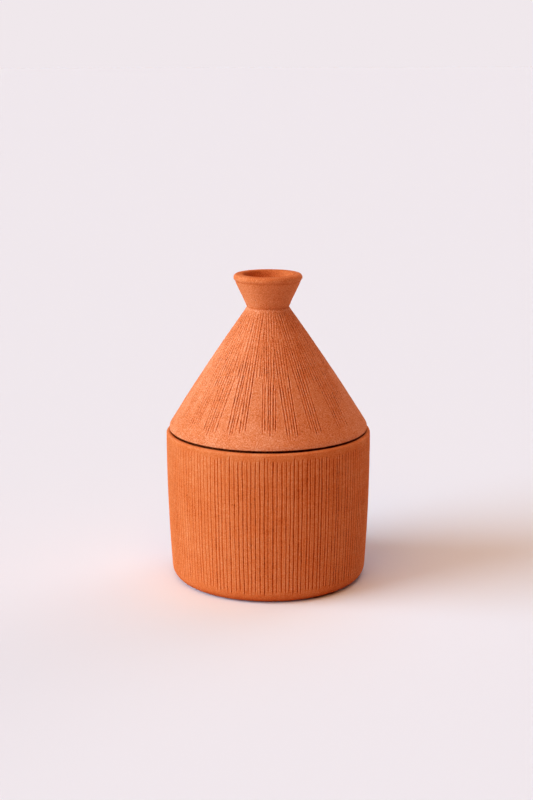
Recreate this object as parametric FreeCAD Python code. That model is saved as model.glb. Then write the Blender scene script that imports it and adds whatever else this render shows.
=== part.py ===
import FreeCAD, Part
import math
import os

# Small lidded terracotta jar in the shape of a tagine, thrown on a wheel.
# Millimetres, +Z up. The origin is the middle of the surface that the foot stands on.

# Pot, outside
rim_radius = 50.0
foot_radius = 47.55         # where the wall would meet the ground without its rounded corner
wall_bulge = 0.7            # how far the wall bows out of the straight line from foot to rim
pot_height = 74.0
foot_round = 5.9
rim_round = 1.3
foot_ring_width = 9.0
foot_recess_depth = 1.0
foot_recess_round = 0.6

# Pot, inside
wall_thickness = 6.0
floor_thickness = 7.0
floor_round = 9.0
rim_thickness = 4.0
rim_inner_round = 2.4
gallery_depth = 6.0         # from the rim down to the ledge that carries the lid
ledge_width = 4.0
ledge_round = 0.8
ledge_drop = 2.5            # upright front of the ledge
ledge_taper = 7.0           # height over which the ledge runs back into the wall

# Lid
shadow_gap = 0.9            # open line between the rim and the underside of the lid
lid_height = 59.7           # from the underside to the seat of the knob
lid_edge_inset = 1.55       # how far the lid's edge stands in from the rim
lid_edge_rise = 1.8         # upright edge between the underside and the cone
lid_edge_round = 0.4
lid_shoulder_round = 3.0    # where the upright edge turns into the cone
cone_bulge = 0.7            # how far the cone bows out of a straight line, measured level
cone_wall = 5.5
apex_cover = 6.1            # clay left between the hollow and the seat of the knob
apex_round = 5.0
skirt_clearance = 0.6       # all round between the skirt and the gallery
skirt_thickness = 4.0
skirt_round = 0.8
skirt_root_round = 0.4

# Knob
neck_radius = 10.1          # where the knob is luted on the tip of the cone
knob_height = 16.0          # from the seat to the lip
knob_radius = 17.6          # where the flare would meet the top without its rounded lip
lip_round = 1.7
knob_wall = 5.6             # measured level
cup_depth = 12.0
cup_round = 3.5
cup_lip_round = 1.1

# Heights and radii that follow from the sizes above
ledge_height = pot_height - gallery_depth
gallery_radius = rim_radius - rim_thickness
ledge_radius = gallery_radius - ledge_width
lid_base = pot_height + shadow_gap
lid_edge_radius = rim_radius - lid_edge_inset
lid_shoulder = lid_base + lid_edge_rise
skirt_radius = gallery_radius - skirt_clearance
skirt_bore_radius = skirt_radius - skirt_thickness
knob_seat = lid_base + lid_height
knob_top = knob_seat + knob_height

match_tolerance = 0.001


def bowed_radius(z, low, high, bulge):
    """Radius at height z of a wall that bows by bulge between two (radius, height) points."""
    share = (z - low[1]) / (high[1] - low[1])
    return low[0] + (high[0] - low[0]) * share + 4.0 * bulge * share * (1.0 - share)


def wall_radius(z):
    """Outside radius of the pot's wall at height z."""
    return bowed_radius(z, (foot_radius, 0.0), (rim_radius, pot_height), wall_bulge)


def cone_radius(z):
    """Outside radius of the lid's cone at height z."""
    return bowed_radius(z, (lid_edge_radius, lid_shoulder), (neck_radius, knob_seat), cone_bulge)


def point(radius, z):
    return FreeCAD.Vector(radius, 0.0, z)


def line(start, end):
    return Part.LineSegment(point(*start), point(*end)).toShape()


def run(points):
    """Straight edges through a list of (radius, height) points."""
    return [line(start, end) for start, end in zip(points, points[1:])]


def bowed(radius_at, low, high, inset=0.0):
    """Arc from height low to height high along a bowed wall, moved inwards by inset."""
    heights = (low, (low + high) / 2.0, high)
    return Part.Arc(*[point(radius_at(z) - inset, z) for z in heights]).toShape()


def turned(edges):
    """Solid of revolution about Z from edges that run from the axis out and back to it."""
    wire = Part.Wire(Part.sortEdges(edges)[0])
    return Part.Face(wire).revolve(FreeCAD.Vector(0, 0, 0), FreeCAD.Vector(0, 0, 1), 360)


def rings(solid, radius, z):
    """Circular edges of a turned solid that lie at a radius and a height."""
    found = []
    for edge in solid.Edges:
        curve = edge.Curve
        if isinstance(curve, Part.Circle):
            off = max(abs(curve.Radius - radius), abs(curve.Center.z - z))
            if off < match_tolerance:
                found.append(edge)
    return found


def softened(solid, size, radius, z):
    """The solid with its edge at a radius and height rounded to size."""
    return solid.makeFillet(size, rings(solid, radius, z))


def make_pot():
    """Round pot with a bowed wall, a foot ring and a gallery inside the rim."""
    recess_radius = foot_radius - foot_round - foot_ring_width
    outside = turned(
        run([(0, foot_recess_depth), (recess_radius, foot_recess_depth), (recess_radius, 0), (foot_radius, 0)])
        + [bowed(wall_radius, 0, pot_height)]
        + run([(rim_radius, pot_height), (0, pot_height), (0, foot_recess_depth)])
    )
    outside = softened(outside, foot_round, foot_radius, 0)
    outside = softened(outside, foot_recess_round, recess_radius, 0)
    outside = softened(outside, rim_round, rim_radius, pot_height)

    ledge_front = ledge_height - ledge_drop
    taper_base = ledge_front - ledge_taper
    floor_radius = wall_radius(floor_thickness) - wall_thickness
    hollow = turned(
        run([(0, floor_thickness), (floor_radius, floor_thickness)])
        + [bowed(wall_radius, floor_thickness, taper_base, wall_thickness)]
        + run([
            (wall_radius(taper_base) - wall_thickness, taper_base),
            (ledge_radius, ledge_front),
            (ledge_radius, ledge_height),
            (gallery_radius, ledge_height),
            (gallery_radius, pot_height),
            (0, pot_height),
            (0, floor_thickness),
        ])
    )
    hollow = softened(hollow, floor_round, floor_radius, floor_thickness)
    hollow = softened(hollow, ledge_round, ledge_radius, ledge_height)
    pot = outside.cut(hollow)
    return softened(pot, rim_inner_round, gallery_radius, pot_height)


def make_lid():
    """Hollow cone whose skirt drops into the gallery and stands on the ledge."""
    outside = turned(
        run([
            (0, ledge_height),
            (skirt_radius, ledge_height),
            (skirt_radius, lid_base),
            (lid_edge_radius, lid_base),
            (lid_edge_radius, lid_shoulder),
        ])
        + [bowed(cone_radius, lid_shoulder, knob_seat)]
        + run([(neck_radius, knob_seat), (0, knob_seat), (0, ledge_height)])
    )
    outside = softened(outside, lid_shoulder_round, lid_edge_radius, lid_shoulder)
    outside = softened(outside, lid_edge_round, lid_edge_radius, lid_base)
    outside = softened(outside, skirt_root_round, skirt_radius, lid_base)

    cone_height = lid_height - lid_edge_rise
    slope = math.hypot(lid_edge_radius - neck_radius, cone_height) / cone_height
    level_wall = cone_wall * slope
    apex = knob_seat - apex_cover
    apex_radius = cone_radius(apex) - level_wall
    base_radius = lid_edge_radius - level_wall
    hollow = turned(
        run([(0, ledge_height), (base_radius, ledge_height), (base_radius, lid_shoulder)])
        + [bowed(cone_radius, lid_shoulder, apex, level_wall)]
        + run([(apex_radius, apex), (0, apex), (0, ledge_height)])
    )
    hollow = softened(hollow, apex_round, apex_radius, apex)
    bore_base = FreeCAD.Vector(0, 0, ledge_height)
    bore = Part.makeCylinder(skirt_bore_radius, lid_height + knob_height, bore_base)
    lid = outside.cut(hollow.common(bore))
    lid = softened(lid, skirt_round, skirt_radius, ledge_height)
    return softened(lid, skirt_round, skirt_bore_radius, ledge_height)


def make_knob():
    """Funnel-shaped knob with an open cup, luted by its narrow end on the tip of the cone."""
    outside = turned(run([
        (0, knob_seat),
        (neck_radius, knob_seat),
        (knob_radius, knob_top),
        (0, knob_top),
        (0, knob_seat),
    ]))
    outside = softened(outside, lip_round, knob_radius, knob_top)

    flare = (knob_radius - neck_radius) / knob_height
    cup_floor = knob_top - cup_depth
    mouth_radius = knob_radius - knob_wall
    cup_floor_radius = mouth_radius - flare * cup_depth
    cup = turned(run([
        (0, cup_floor),
        (cup_floor_radius, cup_floor),
        (mouth_radius, knob_top),
        (0, knob_top),
        (0, cup_floor),
    ]))
    cup = softened(cup, cup_round, cup_floor_radius, cup_floor)
    return softened(outside.cut(cup), cup_lip_round, mouth_radius, knob_top)


pieces = {
    "pot": make_pot(),
    "lid_cone": make_lid(),
    "lid_knob": make_knob(),
}

os.makedirs("parts", exist_ok=True)
for name, piece in pieces.items():
    piece.exportStep(os.path.join("parts", name + ".step"))
    print(name, "valid", piece.isValid(), "solids", len(piece.Solids), "volume", round(piece.Volume))
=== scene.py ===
"""Dresses a small terracotta jar in the shape of a tagine.

The pot, the cone of its lid and the knob are turned pieces, so each is spun from its section as on a wheel.
The comb lines are then pressed into the clay as real relief. Sections are in millimetres, meshes in metres.
"""

import logging
import math
from contextlib import contextmanager
from dataclasses import dataclass
from enum import Enum
from typing import Callable, Iterator, NamedTuple, Sequence

import bpy
import numpy as np
from mathutils import Euler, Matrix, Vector

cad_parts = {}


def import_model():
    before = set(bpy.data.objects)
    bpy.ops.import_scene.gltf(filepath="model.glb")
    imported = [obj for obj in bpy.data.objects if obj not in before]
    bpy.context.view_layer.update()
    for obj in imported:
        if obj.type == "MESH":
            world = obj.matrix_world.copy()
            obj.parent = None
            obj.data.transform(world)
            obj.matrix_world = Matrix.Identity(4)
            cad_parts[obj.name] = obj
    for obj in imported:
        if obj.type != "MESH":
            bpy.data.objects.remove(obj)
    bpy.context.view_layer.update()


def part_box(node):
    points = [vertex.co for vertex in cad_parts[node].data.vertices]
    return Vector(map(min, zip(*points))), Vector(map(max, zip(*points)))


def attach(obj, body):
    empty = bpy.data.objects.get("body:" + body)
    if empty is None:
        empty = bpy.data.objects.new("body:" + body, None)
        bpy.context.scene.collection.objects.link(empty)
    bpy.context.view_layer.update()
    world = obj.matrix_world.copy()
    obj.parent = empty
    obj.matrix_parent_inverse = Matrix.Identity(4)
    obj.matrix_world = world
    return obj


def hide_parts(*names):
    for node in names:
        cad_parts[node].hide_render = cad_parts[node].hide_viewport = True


log = logging.getLogger("tagine_pot")

Piece = bpy.types.Object
Tree = bpy.types.NodeTree
Socket = bpy.types.NodeSocket
Span = tuple[float, float]

MM = 0.001
WELD = 1e-6
ON_AXIS_MM = 0.001
FULL_TURN = 2.0 * math.pi
ARC_STEP = math.radians(14.0)       # how far a rounded corner turns from row to row, at most
LEAST_ARC_STEPS = 3
SMOOTH_BELOW = math.radians(62.0)   # edges that turn by less are shaded smooth
WEIGHT_LEVELS = 255.0
FINGER_RING_MM = 5.3                # height of one ring that fingers leave inside a thrown piece
HAND_WAVES = (1.0, 1.9, 3.7)        # how many waves of a hand's unevenness fit in the longest one
HAND_PEAK = 1.8                     # the most that these waves add up to


class Select(Enum):
    """Which kind of element edit mode works on."""

    POINTS = (True, False, False)
    EDGES = (False, True, False)


class Corner(NamedTuple):
    """One corner of a turned section, in millimetres.

    step_mm is the longest row of faces on the straight run that follows the corner.
    """

    r: float
    z: float
    round_mm: float = 0.0
    step_mm: float = 3.0


class ClayPoints(NamedTuple):
    """Where the points of a turned piece lie: angle from the front, and radius and height in millimetres."""

    around: np.ndarray
    radius: np.ndarray
    height: np.ndarray


def linear(hex_colour: str) -> tuple[float, float, float, float]:
    """Turns an sRGB hex colour into linear red, green, blue and alpha.

    Args:
        hex_colour: six hex digits with a leading hash mark.

    Returns:
        Four numbers for a colour socket.
    """
    shares = [int(hex_colour[i:i + 2], 16) / 255.0 for i in (1, 3, 5)]
    values = [s / 12.92 if s <= 0.04045 else ((s + 0.055) / 1.055) ** 2.4 for s in shares]
    return (*values, 1.0)


def add_node(tree: Tree, kind: str, inputs: dict[str | int, object] | None = None,
             **settings: object) -> bpy.types.Node:
    """Adds one shader node.

    Args:
        tree: the node tree that gets the node.
        kind: Blender's name for the node type.
        inputs: input name or index to its value, or to the output socket that feeds it.
        **settings: properties of the node itself.

    Returns:
        The new node.
    """
    node = tree.nodes.new(kind)
    for key, value in settings.items():
        setattr(node, key, value)
    for key, value in (inputs or {}).items():
        if isinstance(value, Socket):
            tree.links.new(value, node.inputs[key])
        else:
            node.inputs[key].default_value = value
    return node


def compute(tree: Tree, operation: str, *values: Socket | float) -> Socket:
    """Adds one node that does arithmetic on sockets and numbers, and hands back its result."""
    return add_node(tree, "ShaderNodeMath", dict(enumerate(values)), operation=operation).outputs[0]


def smooth_step(low: float, high: float, value: np.ndarray) -> np.ndarray:
    """Rises smoothly from 0 where the value is at low to 1 at high, which may lie below low."""
    share = np.clip((value - low) / (high - low), 0.0, 1.0)
    return share * share * (3.0 - 2.0 * share)


def wandering(rng: np.random.Generator, along: np.ndarray, wave_mm: float) -> np.ndarray:
    """A slow uneven wave, as a hand makes.

    Args:
        rng: source of the wave's phases.
        along: distance along the stroke in millimetres.
        wave_mm: length of the longest wave.

    Returns:
        Values between about -1 and 1.
    """
    total = np.zeros_like(along)
    for part in HAND_WAVES:
        phase = rng.uniform(0.0, FULL_TURN)
        total += np.sin(along * FULL_TURN * part / wave_mm + phase) / part
    return total / HAND_PEAK


def angle_between(angles: np.ndarray | float, centre: float) -> np.ndarray | float:
    """Signed angles from a centre angle, between minus and plus half a turn."""
    return (angles - centre + math.pi) % FULL_TURN - math.pi


def furrow(across: np.ndarray | float) -> np.ndarray | float:
    """Section of a comb line: 1 at its middle, 0 at a distance of 1 and beyond."""
    return np.clip(1.0 - across * across, 0.0, 1.0) ** 2


def rounding(before: Corner, corner: Corner, after: Corner) -> list[tuple[float, float]]:
    """Points of the arc that rounds one corner of a section.

    Args:
        before: the corner before it.
        corner: the corner to round.
        after: the corner after it.

    Returns:
        Radius and height of each point, from the run before to the run after.
    """
    tip = np.array([corner.r, corner.z])
    back = np.array([before.r, before.z]) - tip
    ahead = np.array([after.r, after.z]) - tip
    back /= np.linalg.norm(back)
    ahead /= np.linalg.norm(ahead)
    half = math.acos(float(np.clip(back @ ahead, -1.0, 1.0))) / 2.0
    middle = back + ahead
    centre = tip + middle / np.linalg.norm(middle) * corner.round_mm / math.sin(half)
    start = tip + back * corner.round_mm / math.tan(half) - centre
    turn = math.copysign(math.pi - 2.0 * half, float(back[1] * ahead[0] - back[0] * ahead[1]))
    steps = max(LEAST_ARC_STEPS, math.ceil(abs(turn) / ARC_STEP))
    points = []
    for i in range(steps + 1):
        a = turn * i / steps
        points.append((centre[0] + start[0] * math.cos(a) - start[1] * math.sin(a),
                       centre[1] + start[0] * math.sin(a) + start[1] * math.cos(a)))
    return points


def section_points(corners: Sequence[Corner]) -> np.ndarray:
    """Turns the corners of a section into the rows of a mesh.

    Args:
        corners: the section from the axis, round the piece, and back to the axis.

    Returns:
        An array of radius and height, one row per row of the mesh.
    """
    stretches = []
    for i, corner in enumerate(corners):
        inner = 0 < i < len(corners) - 1
        if inner and corner.round_mm > 0.0:
            stretches.append(rounding(corners[i - 1], corner, corners[i + 1]))
        else:
            stretches.append([(corner.r, corner.z)])
    points = [stretches[0][0]]
    for corner, stretch, ahead in zip(corners, stretches, stretches[1:]):
        points += stretch[1:]
        start = np.array(stretch[-1])
        end = np.array(ahead[0])
        rows = max(1, math.ceil(np.linalg.norm(end - start) / corner.step_mm))
        points += [tuple(start + (end - start) * n / rows) for n in range(1, rows + 1)]
    return np.array(points)


@dataclass(frozen=True)
class BowedWall:
    """A turned wall that bows out between its lower and its upper end. Sizes in millimetres."""

    low_radius: float
    low: float
    high_radius: float
    high: float
    bulge: float

    def radius(self, z: np.ndarray | float) -> np.ndarray | float:
        """Radius of the wall.

        Args:
            z: one height or more.

        Returns:
            The radius at each height.
        """
        share = (z - self.low) / (self.high - self.low)
        straight = self.low_radius + (self.high_radius - self.low_radius) * share
        return straight + 4.0 * self.bulge * share * (1.0 - share)

    def corner(self, z: float, inset: float = 0.0, round_mm: float = 0.0, step_mm: float = 3.0) -> Corner:
        """One corner at a height on the wall, or inset from it, measured level."""
        return Corner(self.radius(z) - inset, z, round_mm, step_mm)

    def corners(self, heights: np.ndarray, inset: float = 0.0, ripple: float = 0.0) -> list[Corner]:
        """Corners at heights along the wall, or inset from it, with a ripple where fingers left rings."""
        rings = ripple * np.sin(heights * FULL_TURN / FINGER_RING_MM)
        return [Corner(r, z) for r, z in zip(self.radius(heights) - inset + rings, heights)]


def make_active(piece: Piece) -> None:
    """Selects one object alone and makes it the active one.

    Args:
        piece: the object.
    """
    bpy.ops.object.select_all(action="DESELECT")
    piece.select_set(True)
    bpy.context.view_layer.objects.active = piece


@contextmanager
def editing(piece: Piece, select: Select = Select.POINTS) -> Iterator[None]:
    """Edit mode on one piece, with no other object selected.

    Args:
        piece: the mesh object to edit.
        select: the kind of element to work on.

    Yields:
        Nothing; edit mode ends with the block.
    """
    make_active(piece)
    bpy.context.tool_settings.mesh_select_mode = select.value
    bpy.ops.object.mode_set(mode="EDIT")
    yield
    bpy.ops.object.mode_set(mode="OBJECT")


@contextmanager
def applied(piece: Piece, kind: str) -> Iterator[bpy.types.Modifier]:
    """Adds a modifier to a piece, lets it be set, and applies it.

    Args:
        piece: the mesh object.
        kind: Blender's name for the modifier type.

    Yields:
        The modifier to set.
    """
    make_active(piece)
    bpy.ops.object.modifier_add(type=kind)
    modifier = piece.modifiers[-1]
    yield modifier
    bpy.ops.object.modifier_apply(modifier=modifier.name)


def throw(name: str, corners: Sequence[Corner], columns: int) -> Piece:
    """Spins a section about the upright axis into a closed shell.

    A plane merged to one point starts the section, which is drawn out from it row by row.

    Args:
        name: the piece's name.
        corners: its section.
        columns: how many faces go round.

    Returns:
        The new mesh object.
    """
    rows = section_points(corners) * MM
    bpy.ops.object.select_all(action="DESELECT")
    bpy.ops.mesh.primitive_plane_add(size=MM)
    piece = bpy.context.active_object
    piece.name = piece.data.name = name
    with editing(piece):
        bpy.ops.mesh.select_all(action="SELECT")
        bpy.ops.mesh.merge(type="CENTER")
        bpy.ops.transform.translate(value=(rows[0][0], 0.0, rows[0][1]))
        for step in np.diff(rows, axis=0):
            bpy.ops.mesh.extrude_region_move(TRANSFORM_OT_translate={"value": (step[0], 0.0, step[1])})
    with applied(piece, "SCREW") as wheel:
        wheel.steps = wheel.render_steps = columns
        wheel.use_merge_vertices = True
        wheel.merge_threshold = WELD
    with editing(piece):
        bpy.ops.mesh.select_all(action="SELECT")
        bpy.ops.mesh.remove_doubles(threshold=WELD)
        bpy.ops.mesh.normals_make_consistent(inside=False)
    return piece


def clay_points(piece: Piece) -> ClayPoints:
    """Reads where the points of a turned piece lie.

    Args:
        piece: the turned piece.

    Returns:
        Angle, radius and height of each point.
    """
    places = np.empty(len(piece.data.vertices) * 3)
    piece.data.vertices.foreach_get("co", places)
    x, y, z = places.reshape(-1, 3).T
    return ClayPoints(np.arctan2(x, -y), np.hypot(x, y) / MM, z / MM)


def thin_columns(piece: Piece, columns: int, keep_every: int,
                 where: Callable[[np.ndarray, np.ndarray], np.ndarray]) -> None:
    """Joins columns of faces where a turned piece is plain, so that detail is spent where it shows.

    Args:
        piece: the turned piece.
        columns: how many columns it was spun with.
        keep_every: each column line whose number isn't a multiple of this goes.
        where: takes radius and height in millimetres and says which edges may go.
    """
    points = clay_points(piece)
    ends = np.empty(len(piece.data.edges) * 2, dtype=np.int64)
    piece.data.edges.foreach_get("vertices", ends)
    a, b = ends.reshape(-1, 2).T
    line = np.rint((points.around - math.pi / 2.0) / FULL_TURN * columns).astype(int) % columns
    on_axis = points.radius < ON_AXIS_MM
    upright = (line[a] == line[b]) | on_axis[a] | on_axis[b]
    number = np.where(on_axis[a], line[b], line[a])
    radius = (points.radius[a] + points.radius[b]) / 2.0
    height = (points.height[a] + points.height[b]) / 2.0
    picked = upright & (number % keep_every != 0) & where(radius, height)
    piece.data.vertices.foreach_set("select", np.zeros(len(points.radius), dtype=bool))
    piece.data.polygons.foreach_set("select", np.zeros(len(piece.data.polygons), dtype=bool))
    piece.data.edges.foreach_set("select", picked)
    with editing(piece, Select.EDGES):
        bpy.ops.mesh.dissolve_edges(use_verts=True, use_face_split=False)


def weigh(piece: Piece, name: str, weights: np.ndarray) -> None:
    """Gives a piece a vertex group.

    Args:
        piece: the mesh object.
        name: the group's name.
        weights: the weight of each point, from 0 to 1.
    """
    group = piece.vertex_groups.new(name=name)
    levels = np.rint(weights * WEIGHT_LEVELS).astype(int)
    for level in np.unique(levels[levels > 0]):
        group.add(np.flatnonzero(levels == level).tolist(), level / WEIGHT_LEVELS, "REPLACE")


def press(piece: Piece, weights: np.ndarray, depth_mm: float) -> None:
    """Presses a mark into the clay.

    Args:
        piece: the turned piece.
        weights: share of the depth at each point, from 0 to 1.
        depth_mm: depth of the mark, or height where it is below 0.
    """
    weigh(piece, "mark", weights)
    with applied(piece, "DISPLACE") as mark:
        mark.vertex_group = "mark"
        mark.mid_level = 0.0
        mark.strength = -depth_mm * MM
    piece.vertex_groups.clear()


def keep(piece: Piece, name: str, values: np.ndarray) -> None:
    """Keeps one number per point of a piece, under a name that its finish reads."""
    attribute = piece.data.attributes.new(name, "FLOAT", "POINT")
    attribute.data.foreach_set("value", values.astype(np.float32))


def unsettle(piece: Piece, weights: np.ndarray, wave_mm: float = 14.0, depth_mm: float = 0.12) -> None:
    """Gives a turned piece the slight unevenness of hand work, always inwards.

    Args:
        piece: the turned piece.
        weights: how much each point may move, from 0 to 1.
        wave_mm: size of the uneven patches.
        depth_mm: how far the lowest lie below the highest.
    """
    clouds = bpy.data.textures.new(piece.name + "_hand", "CLOUDS")
    clouds.noise_scale = wave_mm * MM
    weigh(piece, "hand", weights)
    with applied(piece, "DISPLACE") as hand:
        hand.texture = clouds
        hand.texture_coords = "LOCAL"
        hand.vertex_group = "hand"
        hand.mid_level = 1.0
        hand.strength = depth_mm * MM
    piece.vertex_groups.clear()


@dataclass(frozen=True)
class Mottle:
    """One scale of unevenness in the clay.

    tone and relief say how strongly it shows in the colour and in the surface.
    """

    size_mm: tuple[float, float, float]
    tone: float
    relief: float
    detail: float = 2.0


@dataclass(frozen=True)
class BisqueTerracotta:
    """Iron-rich earthenware, fired once and left bare.

    It gives the eye a dry, warm orange with a fine sandy grain, small open pits and hardly any shine. The
    firing leaves soft clouds of lighter and darker clay, and the wheel faint level bands. Comb lines carry
    painted shade at the bottom and a painted highlight on their burrs, and the rim's outer edge has a painted
    highlight. What the lid shuts in, the foot, and the knob's creases and cup carry painted shade.

    The colours run from darkest, which the deepest painted shade reaches, through deep and body to pale,
    which is also the colour of painted highlights. A tone is a share of that run, on which deep_at and
    body_at are the places of the two in the middle.
    """

    name: str
    # darkest colour, which the deepest painted shade reaches
    darkest_hex: str
    deep_hex: str
    body_hex: str
    # palest colour, also the colour of painted highlights
    pale_hex: str
    deep_at: float = 0.12
    body_at: float = 0.5
    # how far painted shade and the darker wiped clay lower the tone, and how far a painted highlight raises
    # it
    shade_and_wipe_tone: float = 0.36
    highlight_tone: float = 0.26
    pit_tone: float = 0.6
    pit_spacing_mm: float = 2.6
    pit_mm: float = 0.4
    pit_share: float = 0.15
    relief_mm: float = 0.1
    grain_mm: float = 0.33
    grain_tone: float = 1.6
    grain_relief: float = 0.5
    roughness: float = 0.85
    specular: float = 0.02
    mottles: tuple[Mottle, ...] = (
        Mottle((18.0, 18.0, 18.0), 0.24, 0.0),
        Mottle((5.0, 5.0, 45.0), 0.14, 0.0),
        Mottle((60.0, 60.0, 1.6), 0.1, 0.08),
        Mottle((3.4, 3.4, 3.4), 0.16, 0.15, 3.0),
        Mottle((0.8, 0.8, 0.8), 0.16, 0.12),
    )

    def mottling(self, tree: Tree, place: Socket) -> tuple[Socket, Socket]:
        """Adds up the scales of unevenness in the clay, down to its grain of fine sand.

        Args:
            tree: the material's nodes.
            place: the place on the piece.

        Returns:
            The tone and the relief.
        """
        grain = Mottle((self.grain_mm,) * 3, self.grain_tone, self.grain_relief)
        mottles = (*self.mottles, grain)
        tone = self.body_at - sum(mottle.tone for mottle in mottles) / 2.0
        relief = 0.0
        for mottle in mottles:
            waves = tuple(1.0 / (size * MM) for size in mottle.size_mm)
            spot = add_node(tree, "ShaderNodeVectorMath", {0: place, 1: waves},
                            operation="MULTIPLY").outputs[0]
            noise = add_node(tree, "ShaderNodeTexNoise",
                             {"Vector": spot, "Scale": 1.0, "Detail": mottle.detail}).outputs["Fac"]
            tone = compute(tree, "MULTIPLY_ADD", noise, mottle.tone, tone)
            relief = compute(tree, "MULTIPLY_ADD", noise, mottle.relief, relief)
        return tone, relief

    def pits(self, tree: Tree, place: Socket) -> Socket:
        """Opens a small pit in a share of the cells that the clay is divided into.

        Args:
            tree: the material's nodes.
            place: the place on the piece.

        Returns:
            How deep in a pit each place lies, from 0 to 1.
        """
        cells = add_node(tree, "ShaderNodeTexVoronoi",
                         {"Vector": place, "Scale": 1.0 / (self.pit_spacing_mm * MM)}).outputs
        chosen = compute(tree, "GREATER_THAN", cells["Color"], 1.0 - self.pit_share)
        hole = add_node(tree, "ShaderNodeMapRange", {
            "Value": cells["Distance"],
            "From Min": self.pit_mm / self.pit_spacing_mm,
            "From Max": 0.0,
        }, interpolation_type="SMOOTHSTEP").outputs[0]
        return compute(tree, "MULTIPLY", chosen, hole)

    def material(self) -> bpy.types.Material:
        """Builds the node material.

        Returns:
            The material, ready for a slot.
        """
        clay = bpy.data.materials.new(self.name)
        clay.use_nodes = True
        tree = clay.node_tree
        place = add_node(tree, "ShaderNodeTexCoord").outputs["Object"]
        tone, relief = self.mottling(tree, place)
        pit = self.pits(tree, place)
        # The first attribute holds painted shade, together with the slightly darker wiped clay; the second
        # holds a painted highlight.
        hollow = add_node(tree, "ShaderNodeAttribute", attribute_name="hollow").outputs["Fac"]
        painted_highlight = add_node(tree, "ShaderNodeAttribute", attribute_name="painted_highlight").outputs["Fac"]
        for mark, share in ((pit, -self.pit_tone), (hollow, -self.shade_and_wipe_tone), (painted_highlight, self.highlight_tone)):
            tone = compute(tree, "MULTIPLY_ADD", mark, share, tone)
        relief = compute(tree, "SUBTRACT", relief, pit)
        ramp = add_node(tree, "ShaderNodeValToRGB", {0: tone})
        stops = ramp.color_ramp.elements
        stops[0].color = linear(self.darkest_hex)
        stops[1].color = linear(self.pale_hex)
        stops.new(self.deep_at).color = linear(self.deep_hex)
        stops.new(self.body_at).color = linear(self.body_hex)
        bump = add_node(tree, "ShaderNodeBump",
                        {"Strength": 1.0, "Distance": self.relief_mm * MM, "Height": relief})
        shader = tree.nodes["Principled BSDF"]
        shader.inputs["Roughness"].default_value = self.roughness
        shader.inputs["Specular IOR Level"].default_value = self.specular
        tree.links.new(ramp.outputs["Color"], shader.inputs["Base Color"])
        tree.links.new(bump.outputs["Normal"], shader.inputs["Normal"])
        return clay


def dressed(piece: Piece, finish: BisqueTerracotta, body: str, node: str) -> Piece:
    """Gives a finished mesh its material and ties it to the frame.

    Args:
        piece: the mesh object.
        finish: its finish.
        body: the body that it moves with.
        node: the node that it stands for.

    Returns:
        The same piece.
    """
    make_active(piece)
    bpy.ops.object.shade_smooth_by_angle(angle=SMOOTH_BELOW)
    piece.data.materials.append(finish.material())
    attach(piece, body)
    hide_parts(node)
    return piece


@dataclass
class CombMarks:
    """Comb lines and the burrs beside them, as shares of their full depth and height at each point.

    wall says which points lie on the combed wall, and swept_tone how much darker a stroke leaves the clay
    that it has wiped. Sizes in millimetres.
    """

    clay: ClayPoints
    wall: np.ndarray
    burr_aside: float = 0.1
    burr_half_width: float = 0.32
    crumb_half_width: float = 0.75
    crumb_half_length: float = 0.9
    swept_tone: float = 0.1

    def __post_init__(self) -> None:
        """Starts with smooth clay."""
        self.lines = np.zeros_like(self.clay.radius)
        self.burrs = np.zeros_like(self.clay.radius)
        self.swept = np.zeros_like(self.clay.radius)

    def smooth(self, near: np.ndarray, share: np.ndarray) -> None:
        """Wipes earlier marks away, as a new stroke does.

        Args:
            near: numbers of the points.
            share: how much is wiped at each of them.
        """
        self.lines[near] *= 1.0 - share
        self.burrs[near] *= 1.0 - share
        self.swept[near] = np.maximum(self.swept[near], share)

    def draw(self, near: np.ndarray, across: np.ndarray, half_width: float, hold: np.ndarray) -> None:
        """Draws one line.

        Args:
            near: numbers of the points.
            across: how far each of them lies from the middle of the line, in millimetres.
            half_width: from the middle of the line to its edge.
            hold: how firmly it is drawn at each point, from 0 to 1.
        """
        edge = (np.abs(across) - half_width - self.burr_aside) / self.burr_half_width
        self.lines[near] = np.maximum(self.lines[near], furrow(across / half_width) * hold)
        self.burrs[near] = np.maximum(self.burrs[near], furrow(edge) * hold)

    def leave_crumb(self, near: np.ndarray, across: np.ndarray, along: np.ndarray, hold: float) -> None:
        """Leaves a crumb of pushed-up clay on a line, which the points lie across and along from."""
        crumb = furrow(np.hypot(across / self.crumb_half_width, along / self.crumb_half_length))
        self.burrs[near] = np.maximum(self.burrs[near], crumb * hold)

    def press_into(self, piece: Piece, depth_mm: float, burr_mm: float,
                   painted_shade: np.ndarray, edge_highlight: np.ndarray) -> None:
        """Presses the lines into a piece, raises the burrs, and keeps what the finish needs.

        Args:
            piece: the turned piece that the points belong to.
            depth_mm: depth of a firm line.
            burr_mm: height of its burrs.
            painted_shade: the painted shade at each point, in the seat of the lid and at the foot.
            edge_highlight: the painted highlight at each point, on the rim's outer edge.
        """
        # Comb lines darken the colour as painted shade in their grooves, and burrs lighten it as a painted
        # highlight.
        burrs = self.burrs * (1.0 - self.lines)
        keep(piece, "hollow", self.lines + self.swept_tone * self.swept + painted_shade)
        keep(piece, "painted_highlight", burrs + edge_highlight)
        press(piece, self.lines, depth_mm)
        press(piece, burrs, -burr_mm)


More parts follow.
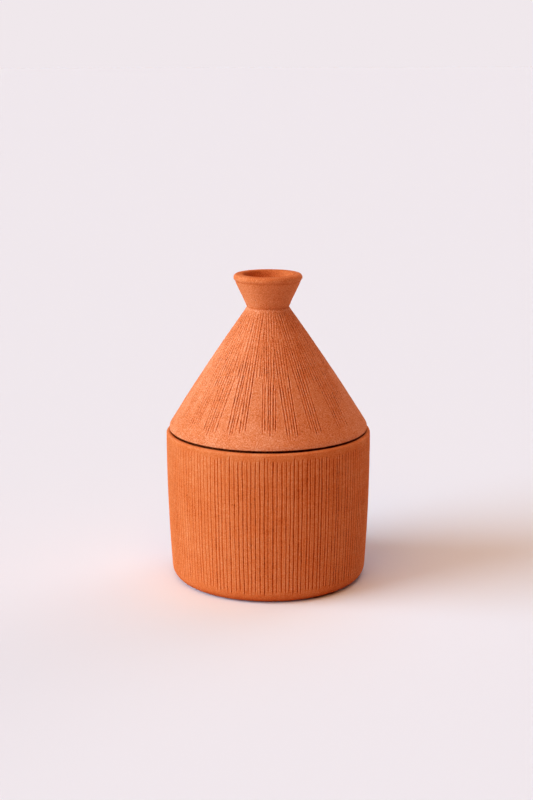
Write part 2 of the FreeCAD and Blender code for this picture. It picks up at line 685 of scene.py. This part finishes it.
@dataclass(frozen=True)
class Hand:
    """How evenly a hand draws a line: how far it strays, how its hold swings, and how the ends fade.

    Sizes in millimetres.
    """

    stray: float
    stray_wave: float
    hold: float
    swing: float
    swing_wave: float
    top_fade: float
    base_fade: float

    def aside(self, rng: np.random.Generator, z: np.ndarray) -> np.ndarray:
        """How far to the side the line strays at each height."""
        return self.stray * wandering(rng, z, self.stray_wave)

    def pressure(self, rng: np.random.Generator, z: np.ndarray) -> np.ndarray:
        """How firmly the line is drawn at each height, from 0 to 1."""
        return np.clip(self.hold + self.swing * wandering(rng, z, self.swing_wave), 0.0, 1.0)

    def length(self, z: np.ndarray, base: float, top: float) -> np.ndarray:
        """1 at heights along the line, falling to 0 at its two ends."""
        return smooth_step(top, top - self.top_fade, z) * smooth_step(base, base + self.base_fade, z)


@dataclass(frozen=True)
class UprightCombing:
    """Close upright lines drawn down the wall of the pot with a toothed rib, most lightly on its left.

    A span is the least and the most of what the hand varies from line to line. Where the rib slips, a weaker
    line runs beside part of a line.
    """

    count: int = 154
    jitter: float = 0.15
    reach: float = 1.4
    depth_mm: float = 0.2
    burr_mm: float = 0.07
    half_width_mm: float = 0.47
    width_span: Span = (0.85, 1.15)
    firmness_span: Span = (0.8, 1.0)
    hand: Hand = Hand(stray=0.14, stray_wave=45.0, hold=0.9, swing=0.14, swing_wave=17.0,
                      top_fade=1.2, base_fade=1.6)
    seed: int = 11

    # Where the lines run
    top_mm: float = 71.2
    uneven_top_mm: float = 0.5
    base_mm: float = 5.0
    uneven_base_mm: float = 0.6
    lean_mm: float = 0.14
    hook_mm: float = 0.5
    hook_span: Span = (-0.3, 1.0)
    hook_height_mm: float = 2.2

    # Where they are lighter
    lightest: float = 0.62
    lightest_deg: float = -62.0
    lighter_within: float = 1.1

    # Where the rib slips
    slip_share: float = 0.3
    slip_aside_mm: float = 0.75
    slip_half_width_mm: float = 0.3
    slip_firmness: float = 0.45
    slip_below_top_mm: float = 15.0
    slip_start_mm: float = 3.0
    slip_fade_mm: float = 26.0
    slip_end_mm: float = 32.0

    def mark(self, marks: CombMarks) -> None:
        """Draws the lines.

        Args:
            marks: the pot's marks, which are added to.
        """
        rng = np.random.default_rng(self.seed)
        clay = marks.clay
        pitch = FULL_TURN / self.count
        lightest_at = math.radians(self.lightest_deg)
        for i in range(self.count):
            centre = (i + rng.uniform(-self.jitter, self.jitter)) * pitch
            top = self.top_mm + rng.normal(0.0, self.uneven_top_mm)
            base = self.base_mm + rng.normal(0.0, self.uneven_base_mm)
            lightness = furrow(angle_between(centre, lightest_at) / self.lighter_within)
            firmness = rng.uniform(*self.firmness_span) * (1.0 - (1.0 - self.lightest) * lightness)
            width = self.half_width_mm * rng.uniform(*self.width_span)
            hook = self.hook_mm * rng.uniform(*self.hook_span)
            lean = rng.normal(0.0, self.lean_mm)
            turn = angle_between(clay.around, centre)
            near = np.flatnonzero(marks.wall & (np.abs(turn) < self.reach * pitch))
            z = clay.height[near]
            bend = self.hand.aside(rng, z) + lean * (z - base) / (top - base)
            bend += hook * smooth_step(top - self.hook_height_mm, top, z) ** 2
            across = turn[near] * clay.radius[near] - bend
            hold = self.hand.pressure(rng, z) * firmness * self.hand.length(z, base, top)
            marks.draw(near, across, width, hold)
            if rng.random() < self.slip_share:
                low = rng.uniform(base, top - self.slip_below_top_mm)
                part = smooth_step(low, low + self.slip_start_mm, z)
                part *= smooth_step(low + self.slip_end_mm, low + self.slip_fade_mm, z)
                aside = self.slip_aside_mm * rng.choice((-1.0, 1.0))
                marks.draw(near, across - aside, self.slip_half_width_mm, self.slip_firmness * hold * part)


@dataclass(frozen=True)
class Smudge:
    """Patch on the right of the pot where a hand dragged over the soft comb lines and half closed them."""

    first_deg: float = 46.0
    last_deg: float = 102.0
    side_fade: float = 0.35
    low_mm: float = 38.0
    low_fade_mm: float = 12.0
    high_mm: float = 71.0
    high_fade_mm: float = 2.0
    slope: float = 0.36
    streak_mm: float = 9.0
    wipe: float = 0.75
    seed: int = 5

    def mark(self, marks: CombMarks) -> None:
        """Closes the lines in slanted streaks.

        Args:
            marks: the pot's marks, which are wiped.
        """
        rng = np.random.default_rng(self.seed)
        clay = marks.clay
        first = math.radians(self.first_deg)
        last = math.radians(self.last_deg)
        near = np.flatnonzero(marks.wall & (clay.around > first) & (clay.around < last))
        around = clay.around[near]
        z = clay.height[near]
        upright = smooth_step(self.low_mm, self.low_mm + self.low_fade_mm, z)
        upright *= smooth_step(self.high_mm, self.high_mm - self.high_fade_mm, z)
        patch = smooth_step(first, first + self.side_fade, around)
        patch *= smooth_step(last, last - self.side_fade, around)
        patch *= upright
        slanted = z - self.slope * (around - first) * clay.radius[near]
        streaks = 0.5 + 0.5 * wandering(rng, slanted, self.streak_mm)
        marks.smooth(near, self.wipe * patch * streaks)


class Stroke(NamedTuple):
    """One stroke of the comb down the cone.

    Its middle lies at angle_deg from the front, and it runs down to height base in millimetres, from the
    neck or from height top. ragged says how uneven the upper ends of its lines are, and pitch how far apart
    they lie.
    """

    angle_deg: float
    teeth: int
    base: float
    firmness: float = 1.0
    top: float = 134.0
    ragged: float = 0.7
    pitch: float = 1.22


@dataclass(frozen=True)
class FanCombing:
    """Strokes of a short comb down the cone, set round it as a fan. Later strokes wipe earlier ones.

    A span is the least and the most of what the hand varies. The strokes that aren't in front lie spacing_deg
    apart, and many of them have a shorter second stroke beside them.
    """

    front_strokes: tuple[Stroke, ...] = (
        Stroke(-66.0, 5, 82.4, 0.4),
        Stroke(-52.0, 5, 80.8, 0.5, pitch=1.5),
        Stroke(-37.5, 6, 80.0, 0.6, pitch=1.4),
        Stroke(-74.0, 4, 108.0, 0.8, pitch=1.5),
        Stroke(-60.0, 4, 106.0, 0.8, pitch=1.5),
        Stroke(-45.0, 4, 98.0, 0.8, pitch=1.45),
        Stroke(72.0, 5, 104.0),
        Stroke(56.0, 5, 98.0),
        Stroke(-30.0, 4, 105.0, 0.8, pitch=1.4),
        Stroke(-9.0, 6, 106.0, 0.8),
        Stroke(38.0, 5, 102.0),
        Stroke(18.0, 5, 111.0, 0.85),
        Stroke(5.0, 5, 117.0, 0.8),
        Stroke(64.0, 4, 91.0, pitch=1.9),
        Stroke(51.5, 5, 81.0, pitch=1.75),
        Stroke(30.0, 5, 80.8, pitch=1.35),
        Stroke(-22.6, 4, 81.4, 0.85, pitch=1.3),
        Stroke(-15.6, 3, 82.6, 0.85),
        Stroke(1.0, 5, 102.0, 0.8, top=123.4, ragged=2.4),
        Stroke(14.0, 5, 104.0, 0.8, top=124.6, ragged=2.4),
        Stroke(0.5, 6, 82.2, 0.9, top=107.0, ragged=2.8),
        Stroke(14.6, 5, 80.4, 0.8, top=108.6, ragged=2.8),
    )
    depth_mm: float = 0.34
    burr_mm: float = 0.16
    half_width_mm: float = 0.43
    hand: Hand = Hand(stray=0.08, stray_wave=18.0, hold=0.82, swing=0.36, swing_wave=8.0,
                      top_fade=1.2, base_fade=1.5)
    seed: int = 23

    # The strokes that aren't in front
    spacing_deg: float = 15.0
    uneven_deg: float = 2.5
    base_mm: float = 83.6
    uneven_base_mm: float = 0.7
    firmness_span: Span = (0.6, 1.0)
    fewest_teeth: int = 4
    most_teeth: int = 6
    second_share: float = 0.6
    second_teeth: int = 5
    second_span_deg: Span = (4.0, 8.0)
    second_rise_mm: Span = (16.0, 34.0)

    # One stroke and what it wipes
    lean_mm: float = 0.6
    edge_mm: float = 0.6
    reach_mm: float = 1.2
    reach_angle: float = 1.2
    wipe: float = 0.9
    wipe_outer_mm: float = 0.4
    wipe_inner_mm: float = 0.2
    wipe_base_mm: float = 2.5

    # Its lines and their crumbs
    tooth_jitter_mm: float = 0.14
    tooth_base_mm: float = 0.8
    tooth_span: Span = (0.5, 1.0)
    lighter_above: Span = (104.0, 118.0)
    lighter_by: float = 0.3
    crumbs: int = 2
    crumb_span: Span = (0.0, 0.8)
    top_crumb_span: Span = (0.2, 1.0)
    base_crumb_span: Span = (0.0, 0.7)

    def strokes(self, rng: np.random.Generator) -> list[Stroke]:
        """The strokes in front, then the rest of the way round.

        Args:
            rng: source of their uneven places.

        Returns:
            The strokes in the order that they are drawn.
        """
        angles = [stroke.angle_deg for stroke in self.front_strokes]
        room = 360.0 - (max(angles) - min(angles))
        others = round(room / self.spacing_deg) - 1
        strokes = list(self.front_strokes)
        for n in range(1, others + 1):
            angle = max(angles) + room * n / (others + 1) + rng.uniform(-self.uneven_deg, self.uneven_deg)
            base = self.base_mm + rng.normal(0.0, self.uneven_base_mm)
            firmness = rng.uniform(*self.firmness_span)
            teeth = int(rng.integers(self.fewest_teeth, self.most_teeth + 1))
            strokes.append(Stroke(angle, teeth, base, firmness))
            if rng.random() < self.second_share:
                aside = angle + rng.uniform(*self.second_span_deg)
                rise = rng.uniform(*self.second_rise_mm)
                strokes.append(Stroke(aside, self.second_teeth, base + rise, firmness))
        return strokes

    def mark(self, marks: CombMarks) -> None:
        """Draws the strokes.

        Args:
            marks: the cone's marks, which are added to.
        """
        rng = np.random.default_rng(self.seed)
        for stroke in self.strokes(rng):
            self.comb(stroke, marks, rng)

    def comb(self, stroke: Stroke, marks: CombMarks, rng: np.random.Generator) -> None:
        """Draws one stroke, which first wipes what it runs over.

        Args:
            stroke: the stroke.
            marks: the cone's marks, which are added to.
            rng: source of what the hand varies.
        """
        clay = marks.clay
        turn = angle_between(clay.around, math.radians(stroke.angle_deg))
        lean = rng.normal(0.0, self.lean_mm)
        rise = (clay.height - stroke.base) / (stroke.top - stroke.base)
        aside = turn * clay.radius - lean * rise
        middle = (stroke.teeth - 1) / 2.0
        reach = middle * stroke.pitch + self.edge_mm
        beside = (np.abs(aside) < reach + self.reach_mm) & (np.abs(turn) < self.reach_angle)
        near = np.flatnonzero(marks.wall & beside)
        z = clay.height[near]
        band = smooth_step(reach + self.wipe_outer_mm, reach - self.wipe_inner_mm, np.abs(aside[near]))
        band *= smooth_step(stroke.top, stroke.top - 2.0 * stroke.ragged, z)
        band *= smooth_step(stroke.base, stroke.base + self.wipe_base_mm, z)
        marks.smooth(near, self.wipe * band)
        for tooth in range(stroke.teeth):
            offset = (tooth - middle) * stroke.pitch + rng.normal(0.0, self.tooth_jitter_mm)
            top = stroke.top - abs(rng.normal(0.0, stroke.ragged))
            base = stroke.base + rng.normal(0.0, self.tooth_base_mm)
            firmness = stroke.firmness * rng.uniform(*self.tooth_span)
            across = aside[near] - offset - self.hand.aside(rng, z)
            hold = self.hand.pressure(rng, z) * firmness * self.hand.length(z, base, top)
            hold *= 1.0 - self.lighter_by * smooth_step(*self.lighter_above, z)
            marks.draw(near, across, self.half_width_mm, hold)
            marks.leave_crumb(near, across, z - top, firmness * rng.uniform(*self.top_crumb_span))
            marks.leave_crumb(near, across, z - base, firmness * rng.uniform(*self.base_crumb_span))
            for _ in range(self.crumbs):
                place = rng.uniform(base, top)
                marks.leave_crumb(near, across, z - place, firmness * rng.uniform(*self.crumb_span))


@dataclass
class CombedPot:
    """The round pot with its foot ring, combed wall, rim and gallery. Sizes in millimetres.

    Rows give the first height, the last and the step of the rows of faces on one part of the wall. Columns of
    faces are joined plain_every by plain_every where no comb line runs, and hidden_every where little shows.
    """

    finish: BisqueTerracotta
    node: str = "pot"
    body: str = "pot_body"
    slot: str = "pot_terracotta"
    combing: UprightCombing = UprightCombing()
    smudge: Smudge = Smudge()

    # Section
    foot_radius: float = 47.55
    wall_bulge: float = 0.7
    foot_round: float = 5.9
    foot_ring_width: float = 9.0
    foot_recess: float = 1.0
    recess_round: float = 0.4
    rim_round: float = 1.3
    rim_inner_round: float = 2.4
    rim_thickness: float = 4.0
    wall_thickness: float = 6.0
    floor: float = 7.0
    floor_round: float = 9.0
    gallery_depth: float = 6.0
    gallery_round: float = 0.3
    ledge_width: float = 4.0
    ledge_round: float = 0.8
    ledge_drop: float = 2.5
    ledge_front_round: float = 1.0
    ledge_taper: float = 7.0
    taper_round: float = 2.0
    ring_height: float = 0.12

    # Rows and columns of faces
    ring_row: float = 1.3
    rings_below_taper: float = 3.0
    rings_above_floor: float = 11.0
    foot_rows: tuple[float, float, float] = (6.0, 9.0, 0.7)
    wall_rows: tuple[float, float, float] = (9.0, 66.5, 1.7)
    rim_rows: tuple[float, float, float] = (67.0, 72.4, 0.6)
    columns: int = 1320
    plain_every: int = 3
    plain_foot: float = 3.8
    plain_rim: float = 1.0
    hidden_every: int = 12
    underside_radius: float = 42.5
    inside_radius: float = 46.4

    # Where the clay is combed or uneven, and where shade and a highlight are painted on it
    skin: float = 1.0
    uneven_above: Span = (0.5, 6.0)
    rim_edge: float = 1.6
    rim_highlight_from: float = 2.4
    rim_shade_from: float = 2.6
    rim_highlight_tone: float = 0.35
    highlight_below_top: Span = (1.5, 0.5)
    seat_from: Span = (62.0, 66.0)
    seat_shade_tone: float = 0.5
    gap_shade_tone: float = 0.5
    gap_below_top: Span = (3.0, 1.6)
    foot_shade: float = 4.5
    foot_shade_tone: float = 0.5

    def build(self) -> Piece:
        """Throws the pot, combs it and gives it its finish.

        Returns:
            The finished piece.
        """
        low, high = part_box(self.node)
        rim = (high.x - low.x) / 2.0 / MM - self.combing.burr_mm / 2.0
        top = high.z / MM
        wall = BowedWall(self.foot_radius, 0.0, rim, top, self.wall_bulge)
        piece = throw("combed_pot", self.corners(wall), self.columns)
        thin_columns(piece, self.columns, self.plain_every,
                     lambda r, z: (z < self.plain_foot) | (z > top - self.plain_rim))
        thin_columns(piece, self.columns, self.hidden_every,
                     lambda r, z: (r < self.underside_radius) | ((r < self.inside_radius) & (z > self.floor)))
        clay = clay_points(piece)
        marks = CombMarks(clay, clay.radius > wall.radius(clay.height) - self.skin)
        self.combing.mark(marks)
        self.smudge.mark(marks)
        unsettle(piece, smooth_step(*self.uneven_above, clay.height))
        painted_shade, edge_highlight = self.tones(clay, rim, top)
        marks.press_into(piece, self.combing.depth_mm, self.combing.burr_mm, painted_shade, edge_highlight)
        return dressed(piece, self.finish, self.body, self.node)

    def tones(self, clay: ClayPoints, rim: float, top: float) -> tuple[np.ndarray, np.ndarray]:
        """Where shade is painted in the seat and at the foot, and a highlight on the rim's edge.

        Args:
            clay: the points of the pot.
            rim: radius of the rim.
            top: height of the rim.

        Returns:
            The painted shade and the painted highlight at each point.
        """
        r, z = clay.radius, clay.height
        # Painted shade in the seat of the lid, deepest by the gap under it, and at the bottom of the foot.
        painted_shade = smooth_step(rim - self.rim_edge, rim - self.rim_shade_from, r)
        painted_shade *= smooth_step(*self.seat_from, z)
        gap_low, gap_high = (top - below for below in self.gap_below_top)
        painted_shade *= self.seat_shade_tone + self.gap_shade_tone * smooth_step(gap_low, gap_high, z)
        painted_shade += self.foot_shade_tone * smooth_step(self.foot_shade, 0.0, z)
        # Painted highlight along the rim's outer edge.
        highlight_low, highlight_high = (top - below for below in self.highlight_below_top)
        edge_highlight = self.rim_highlight_tone * smooth_step(highlight_low, highlight_high, z)
        edge_highlight *= smooth_step(rim - self.rim_highlight_from, rim - self.rim_edge, r)
        return painted_shade, edge_highlight

    def corners(self, wall: BowedWall) -> list[Corner]:
        """Section of the pot.

        Args:
            wall: the outside of the wall.

        Returns:
            The corners from the middle of the underside round to the middle of the floor.
        """
        rim, top = wall.high_radius, wall.high
        recess = self.foot_radius - self.foot_round - self.foot_ring_width
        gallery = rim - self.rim_thickness
        ledge = top - self.gallery_depth
        taper = ledge - self.ledge_drop - self.ledge_taper
        outer = np.concatenate([np.arange(*rows) for rows in (self.foot_rows, self.wall_rows, self.rim_rows)])
        inner = np.arange(taper - self.rings_below_taper, self.floor + self.rings_above_floor, -self.ring_row)
        return [
            Corner(0.0, self.foot_recess, step_mm=6.0),
            Corner(recess, self.foot_recess, self.recess_round),
            Corner(recess, 0.0, self.recess_round, step_mm=2.0),
            Corner(self.foot_radius, 0.0, self.foot_round, step_mm=1.0),
            *wall.corners(outer),
            Corner(rim, top, self.rim_round, step_mm=0.6),
            Corner(gallery, top, self.rim_inner_round, step_mm=1.0),
            Corner(gallery, ledge, self.gallery_round, step_mm=1.0),
            Corner(gallery - self.ledge_width, ledge, self.ledge_round, step_mm=1.0),
            Corner(gallery - self.ledge_width, ledge - self.ledge_drop, self.ledge_front_round, step_mm=1.5),
            wall.corner(taper, self.wall_thickness, self.taper_round, step_mm=2.0),
            *wall.corners(inner, self.wall_thickness, self.ring_height),
            wall.corner(self.floor, self.wall_thickness, self.floor_round, step_mm=3.0),
            Corner(0.0, self.floor),
        ]


@dataclass
class CombedLid:
    """The hollow cone of the lid with its skirt and fans of comb lines. Sizes in millimetres.

    Columns of faces are joined inside, and two or four at a time where the cone is narrow.
    """

    finish: BisqueTerracotta
    node: str = "lid_cone"
    body: str = "lid"
    slot: str = "lid_terracotta"
    combing: FanCombing = FanCombing()

    # Section
    edge_radius: float = 48.45
    edge_rise: float = 1.8
    edge_round: float = 0.4
    shoulder_round: float = 3.0
    skirt_length: float = 6.9
    skirt_radius: float = 45.4
    skirt_thickness: float = 4.0
    skirt_round: float = 0.8
    skirt_root_round: float = 0.4
    bore_round: float = 1.0
    neck_radius: float = 10.1
    cone_bulge: float = 0.7
    level_wall: float = 6.6
    apex_cover: float = 6.1
    apex_round: float = 3.0
    ring_height: float = 0.12

    # Rows and columns of faces
    ring_row: float = 1.3
    rings_below_apex: float = 5.0
    rings_above_edge: float = 1.0
    plain_row: float = 1.6
    plain_row_from: float = 1.4
    comb_row: float = 0.9
    comb_row_from: float = 79.0
    last_rows_below_seat: Span = (0.5, 0.2)
    columns: int = 1200
    plain_every: int = 10
    inside_radius: float = 46.0
    inside_depth: float = 2.0
    half_columns_within: float = 24.0
    quarter_columns_within: float = 13.0

    # Where the clay is combed or uneven, and where shade is painted on it
    skin: float = 1.0
    uncombed_edge: float = 4.0
    uncombed_tip: float = 0.1
    even_tip: float = 4.0
    under_shade_tone: float = 0.5
    under_fade: float = 0.5
    gap_shade_tone: float = 0.6
    gap_below_base: Span = (3.0, 1.5)
    gap_fade: float = 0.3

    def build(self) -> Piece:
        """Throws the cone, combs it and gives it its finish.

        Returns:
            The finished piece.
        """
        foot, seat = (corner.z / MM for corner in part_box(self.node))
        base = foot + self.skirt_length
        cone = BowedWall(self.edge_radius, base + self.edge_rise, self.neck_radius, seat, self.cone_bulge)
        piece = throw("combed_lid", self.corners(cone, foot, base), self.columns)
        thin_columns(piece, self.columns, self.plain_every,
                     lambda r, z: (r < self.inside_radius) & (r < cone.radius(z) - self.inside_depth))
        thin_columns(piece, self.columns, 2, lambda r, z: r < self.half_columns_within)
        thin_columns(piece, self.columns, 4, lambda r, z: r < self.quarter_columns_within)
        clay = clay_points(piece)
        combed = (clay.height > base + self.uncombed_edge) & (clay.height < seat - self.uncombed_tip)
        marks = CombMarks(clay, (clay.radius > cone.radius(clay.height) - self.skin) & combed)
        self.combing.mark(marks)
        unsettle(piece, smooth_step(seat, seat - self.even_tip, clay.height))
        painted_shade = self.tones(clay.height, base)
        marks.press_into(piece, self.combing.depth_mm, self.combing.burr_mm, painted_shade, np.zeros_like(painted_shade))
        return dressed(piece, self.finish, self.body, self.node)

    def tones(self, z: np.ndarray, base: float) -> np.ndarray:
        """Where shade is painted, under the lid and at the root of its skirt.

        Args:
            z: heights of the points.
            base: height of the lid's underside.

        Returns:
            The painted shade at each point.
        """
        # Painted shade on the lid's underside and in the gap at the root of its skirt.
        painted_shade = self.under_shade_tone * smooth_step(base + self.under_fade, base, z)
        gap_low, gap_high = (base - below for below in self.gap_below_base)
        gap = self.gap_shade_tone * smooth_step(gap_low, gap_high, z)
        return painted_shade + gap * smooth_step(base + self.gap_fade, base, z)

    def corners(self, cone: BowedWall, foot: float, base: float) -> list[Corner]:
        """Section of the lid.

        Args:
            cone: the outside of the cone.
            foot: height of the skirt's lower end.
            base: height of the lid's underside.

        Returns:
            The corners from the top of the hollow round to the middle of the knob's seat.
        """
        seat = cone.high
        bore = self.skirt_radius - self.skirt_thickness
        apex = seat - self.apex_cover
        upper_end, last = (seat - below for below in self.last_rows_below_seat)
        plain = np.arange(cone.low + self.plain_row_from, self.comb_row_from, self.plain_row)
        outer = np.concatenate([plain, np.arange(self.comb_row_from, upper_end, self.comb_row), [last]])
        inner = np.arange(apex - self.rings_below_apex, cone.low + self.rings_above_edge, -self.ring_row)
        return [
            Corner(0.0, apex, step_mm=2.0),
            cone.corner(apex, self.level_wall, self.apex_round, step_mm=2.0),
            *cone.corners(inner, self.level_wall, self.ring_height),
            Corner(bore, cone.low, self.bore_round),
            Corner(bore, foot, self.skirt_round, step_mm=1.0),
            Corner(self.skirt_radius, foot, self.skirt_round, step_mm=1.5),
            Corner(self.skirt_radius, base, self.skirt_root_round, step_mm=1.0),
            Corner(self.edge_radius, base, self.edge_round, step_mm=0.5),
            Corner(self.edge_radius, cone.low, self.shoulder_round, step_mm=0.8),
            *cone.corners(outer),
            Corner(self.neck_radius, seat, step_mm=2.0),
            Corner(0.0, seat),
        ]


@dataclass
class FunnelKnob:
    """The flared knob with its rolled lip and open cup, luted by its narrow end on the cone.

    Sizes in millimetres. inside keeps the lip a hair below the top of the solid.
    """

    finish: BisqueTerracotta
    node: str = "lid_knob"
    body: str = "lid"
    slot: str = "knob_terracotta"
    columns: int = 600

    # Section
    neck_radius: float = 10.1
    flare_radius: float = 17.6
    neck_row: float = 1.6
    waist: float = 2.3
    waist_inset: float = 0.06
    lip_round: float = 1.7
    lip_height: float = 2.6
    under_lip: float = 2.2
    under_lip_round: float = 2.0
    crease: float = 0.16
    crease_below_lip: float = 0.5
    crease_round: float = 0.4
    wall: float = 5.6
    cup_depth: float = 12.0
    cup_round: float = 3.5
    cup_lip_round: float = 1.1
    inside: float = 0.001

    # Where the clay is even, and where shade is painted on it
    even_end: float = 4.0
    crease_shade_tone: float = 0.42
    crease_half_height: float = 0.8
    neck_shade_tone: float = 0.4
    neck_shade: float = 1.2
    cup_shade_tone: float = 0.42

    def build(self) -> Piece:
        """Throws the knob and gives it its finish.

        Returns:
            The finished piece.
        """
        neck, top = (corner.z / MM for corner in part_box(self.node))
        top -= self.inside
        flare = BowedWall(self.neck_radius, neck, self.flare_radius, top, 0.0)
        piece = throw("funnel_knob", self.corners(flare), self.columns)
        clay = clay_points(piece)
        z = clay.height
        unsettle(piece, smooth_step(neck, neck + self.even_end, z) * smooth_step(top, top - self.even_end, z))
        keep(piece, "hollow", self.tones(clay, flare))
        return dressed(piece, self.finish, self.body, self.node)

    def tones(self, clay: ClayPoints, flare: BowedWall) -> np.ndarray:
        """Where shade is painted, in the crease under the lip, at the neck and in the cup.

        Args:
            clay: the points of the knob.
            flare: the outside of the knob.

        Returns:
            The painted shade at each point.
        """
        z = clay.height
        outside = smooth_step(-self.wall, -self.wall / 2.0, clay.radius - flare.radius(z))
        above_crease = z - flare.high + self.lip_height + self.crease_below_lip
        crease = furrow(above_crease / self.crease_half_height) * outside
        at_neck = smooth_step(flare.low + self.neck_shade, flare.low, z)
        # Painted shade in the crease under the lip, in the crease at the neck and inside the cup.
        return self.crease_shade_tone * crease + self.neck_shade_tone * at_neck + self.cup_shade_tone * (1.0 - outside)

    def corners(self, flare: BowedWall) -> list[Corner]:
        """Section of the knob.

        Args:
            flare: the outside, from the seat on the cone, where the knob is narrowest, to the lip.

        Returns:
            The corners from the middle of the seat round to the middle of the cup.
        """
        neck, top = flare.low, flare.high
        mouth = self.flare_radius - self.wall
        lip = top - self.lip_height
        slope = (self.flare_radius - self.neck_radius) / (top - neck)
        cup = top - self.cup_depth
        return [
            Corner(0.0, neck, step_mm=3.0),
            Corner(self.neck_radius, neck, step_mm=0.4),
            flare.corner(neck + self.neck_row),
            flare.corner(neck + self.waist, self.waist_inset),
            flare.corner(lip - self.under_lip, 0.0, self.under_lip_round, step_mm=0.5),
            flare.corner(lip - self.crease_below_lip, self.crease, self.crease_round, step_mm=0.5),
            flare.corner(lip),
            Corner(self.flare_radius, top, self.lip_round, step_mm=0.5),
            Corner(mouth, top, self.cup_lip_round, step_mm=0.6),
            Corner(mouth - slope * self.cup_depth, cup, self.cup_round, step_mm=1.0),
            Corner(0.0, cup),
        ]


@dataclass(frozen=True)
class SoftLight:
    """Even light from one side, soft as through a wide window or off a pale wall."""

    name: str
    azimuth_deg: float
    elevation_deg: float
    spread_deg: float
    strength: float
    colour_hex: str

    def hang(self) -> None:
        """Adds the lamp."""
        lamp = bpy.data.lights.new(self.name, "SUN")
        lamp.angle = math.radians(self.spread_deg)
        lamp.energy = self.strength
        lamp.color = linear(self.colour_hex)[:3]
        a = math.radians(self.azimuth_deg)
        e = math.radians(self.elevation_deg)
        away = Vector((math.sin(a) * math.cos(e), -math.cos(a) * math.cos(e), math.sin(e)))
        holder = bpy.data.objects.new(self.name, lamp)
        holder.location = away
        holder.rotation_euler = (-away).to_track_quat("-Z", "Y").to_euler()
        bpy.context.scene.collection.objects.link(holder)


@dataclass(frozen=True)
class Studio:
    """Plain pale floor, soft light and the camera that the photograph was taken with."""

    floor_hex: str = "#EFE9EE"
    wall_hex: str = "#F0E8EC"
    fill_hex: str = "#FFD9B8"
    fill: float = 0.02
    floor_m: float = 60.0
    paper_roughness: float = 0.95
    camera_back_mm: float = 717.56
    camera_up_mm: float = 253.05
    camera_aside_mm: float = -0.48
    camera_pitch_deg: float = 12.935
    camera_roll_deg: float = 0.12
    focal_px: float = 1504.1
    image_long_px: float = 800.0
    film_mm: float = 36.0
    lights: tuple[SoftLight, ...] = (
        SoftLight("window", -76.0, 17.0, 50.0, 5.65, "#B8E4FF"),
        SoftLight("ceiling", -30.0, 62.0, 70.0, 2.1, "#FFCC90"),
        SoftLight("back", 160.0, 58.0, 60.0, 0.85, "#A8D6FF"),
        SoftLight("bounce", 135.0, 5.0, 40.0, 1.4, "#FFF4EC"),
    )

    def build(self) -> None:
        """Lays the floor, hangs the lamps and sets up the camera and the world."""
        self.lay_floor()
        for light in self.lights:
            light.hang()
        self.set_camera()
        self.set_world()
        bpy.context.scene.view_settings.view_transform = "Standard"

    def lay_floor(self) -> None:
        """Adds the plain floor that the jar stands on."""
        bpy.ops.object.select_all(action="DESELECT")
        bpy.ops.mesh.primitive_plane_add(size=self.floor_m)
        floor = bpy.context.active_object
        floor.name = "floor"
        paper = bpy.data.materials.new("matt_studio_paper")
        paper.use_nodes = True
        shader = paper.node_tree.nodes["Principled BSDF"]
        shader.inputs["Base Color"].default_value = linear(self.floor_hex)
        shader.inputs["Roughness"].default_value = self.paper_roughness
        shader.inputs["Specular IOR Level"].default_value = 0.0
        floor.data.materials.append(paper)

    def set_camera(self) -> None:
        """Adds the camera at the photograph's angle."""
        camera = bpy.data.cameras.new("photo_camera")
        camera.sensor_width = self.film_mm
        camera.lens = self.focal_px / self.image_long_px * self.film_mm
        holder = bpy.data.objects.new("photo_camera", camera)
        holder.location = Vector((self.camera_aside_mm, -self.camera_back_mm, self.camera_up_mm)) * MM
        pitch = math.radians(90.0 - self.camera_pitch_deg)
        holder.rotation_euler = Euler((pitch, math.radians(self.camera_roll_deg), 0.0))
        bpy.context.scene.collection.objects.link(holder)
        bpy.context.scene.camera = holder

    def set_world(self) -> None:
        """Sets the faint even light of the room, which the camera sees as a pale wall."""
        world = bpy.data.worlds.new("pale_room")
        world.use_nodes = True
        bpy.context.scene.world = world
        tree = world.node_tree
        rays = add_node(tree, "ShaderNodeLightPath").outputs
        seen = rays["Is Camera Ray"]
        for ray in ("Is Glossy Ray", "Is Transmission Ray"):
            seen = compute(tree, "MAXIMUM", seen, rays[ray])
        fill = tuple(share * self.fill for share in linear(self.fill_hex)[:3]) + (1.0,)
        colour = add_node(tree, "ShaderNodeMix", {0: seen, 6: fill, 7: linear(self.wall_hex)},
                          data_type="RGBA")
        tree.links.new(colour.outputs[2], tree.nodes["Background"].inputs["Color"])


def main() -> None:
    """Builds the jar and its studio, and reports each piece."""
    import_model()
    logging.basicConfig(level=logging.INFO, format="%(name)s: %(message)s")
    # Each finish runs darkest, deep, body, pale: the darkest is reached by painted shade, and the pale is
    # also the colour of painted highlights.
    pot_clay = BisqueTerracotta("bisque_terracotta_pot", "#4A1508", "#AD3D12", "#D0652F", "#E8986A",
                                shade_and_wipe_tone=0.5, grain_tone=1.2)
    lid_clay = BisqueTerracotta("bisque_terracotta_lid", "#4A1508", "#B6481C", "#D97644", "#F2AC8A",
                                shade_and_wipe_tone=0.54, highlight_tone=0.34, grain_tone=1.9)
    knob_clay = BisqueTerracotta("bisque_terracotta_knob", "#4A1508", "#B04A1E", "#D66F3C", "#EEA078",
                                 grain_tone=1.4)
    for maker in (CombedPot(pot_clay), CombedLid(lid_clay), FunnelKnob(knob_clay)):
        piece = maker.build()
        triangles = sum(len(face.vertices) - 2 for face in piece.data.polygons)
        log.info("%s: %d triangles, rides on %s", piece.name, triangles, maker.body)
    Studio().build()


if __name__ == "__main__":
    main()
